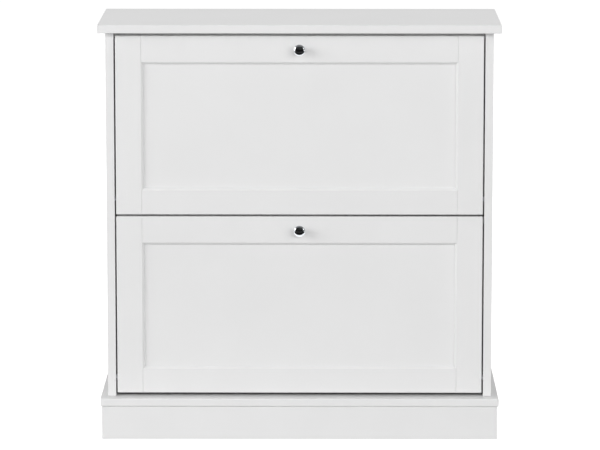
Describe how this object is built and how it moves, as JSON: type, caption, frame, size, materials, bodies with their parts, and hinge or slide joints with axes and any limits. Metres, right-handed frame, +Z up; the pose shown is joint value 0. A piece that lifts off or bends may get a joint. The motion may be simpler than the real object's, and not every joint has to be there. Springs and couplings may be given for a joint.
{
  "type": "shoe cabinet",
  "caption": "White shoe cabinet with framed tilt-out flaps on pivot pins, sloping shoe rows behind each flap, round chrome knobs, an overhanging top and a plinth.",
  "frame": {"origin": "on the floor under the middle of the cabinet", "axes": "+Z up; the flaps and knobs face -Y and the back is towards +Y; +X is to the right as seen from the front"},
  "size_m": [0.88, 0.35, 0.92],
  "materials": {
    "white_lacquer": "satin white lacquer on board",
    "white_foil": "matt white melamine foil on board",
    "white_hardboard": "white coated hardboard",
    "white_plastic": "extruded white plastic",
    "chrome": "polished chrome plate",
    "zinc_steel": "bright zinc plate",
    "nylon": "moulded natural nylon",
    "rubber": "clear soft rubber"
  },
  "bodies": {
    "carcass": {"top_board": "white_lacquer", "base_board": "white_lacquer", "side_panel_left": "white_lacquer", "side_panel_right": "white_lacquer", "plinth_front": "white_lacquer", "plinth_left": "white_lacquer", "plinth_right": "white_lacquer", "plinth_rear": "white_foil", "plinth_brace": "white_foil", "divider_shelf": "white_foil", "top_stop_rail": "white_foil", "top_back_rail": "white_foil", "back_panel_lower": "white_hardboard", "back_panel_upper": "white_hardboard", "back_joint_strip": "white_plastic", "wall_bracket_left": "zinc_steel", "wall_bracket_right": "zinc_steel", "bumper_lower_left": "rubber", "bumper_lower_right": "rubber", "bumper_upper_left": "rubber", "bumper_upper_right": "rubber", "lower_pivot_pin_left": "zinc_steel", "lower_stop_pin_left": "zinc_steel", "lower_pivot_pin_right": "zinc_steel", "lower_stop_pin_right": "zinc_steel", "upper_pivot_pin_left": "zinc_steel", "upper_stop_pin_left": "zinc_steel", "upper_pivot_pin_right": "zinc_steel", "upper_stop_pin_right": "zinc_steel"},
    "lower_flap": {"lower_stile_left": "white_lacquer", "lower_stile_right": "white_lacquer", "lower_rail_top": "white_lacquer", "lower_rail_bottom": "white_lacquer", "lower_panel": "white_lacquer", "lower_knob": "chrome", "lower_knob_screw": "zinc_steel", "lower_bush_left": "nylon", "lower_cheek_left": "white_foil", "lower_bush_right": "nylon", "lower_cheek_right": "white_foil", "lower_sole_board_lower": "white_foil", "lower_toe_board_lower": "white_foil", "lower_sole_board_upper": "white_foil", "lower_toe_board_upper": "white_foil"},
    "upper_flap": {"upper_stile_left": "white_lacquer", "upper_stile_right": "white_lacquer", "upper_rail_top": "white_lacquer", "upper_rail_bottom": "white_lacquer", "upper_panel": "white_lacquer", "upper_knob": "chrome", "upper_knob_screw": "zinc_steel", "upper_bush_left": "nylon", "upper_cheek_left": "white_foil", "upper_bush_right": "nylon", "upper_cheek_right": "white_foil", "upper_sole_board_lower": "white_foil", "upper_toe_board_lower": "white_foil", "upper_sole_board_upper": "white_foil", "upper_toe_board_upper": "white_foil"}
  },
  "joints": [
    {"name": "lower_flap_hinge", "type": "hinge", "parent": "carcass", "child": "lower_flap", "pos_m": [0, -0.137, 0.1345], "axis": [1, 0, 0], "range_deg": [0, 40]},
    {"name": "upper_flap_hinge", "type": "hinge", "parent": "carcass", "child": "upper_flap", "pos_m": [0, -0.137, 0.5335], "axis": [1, 0, 0], "range_deg": [0, 40]}
  ]
}
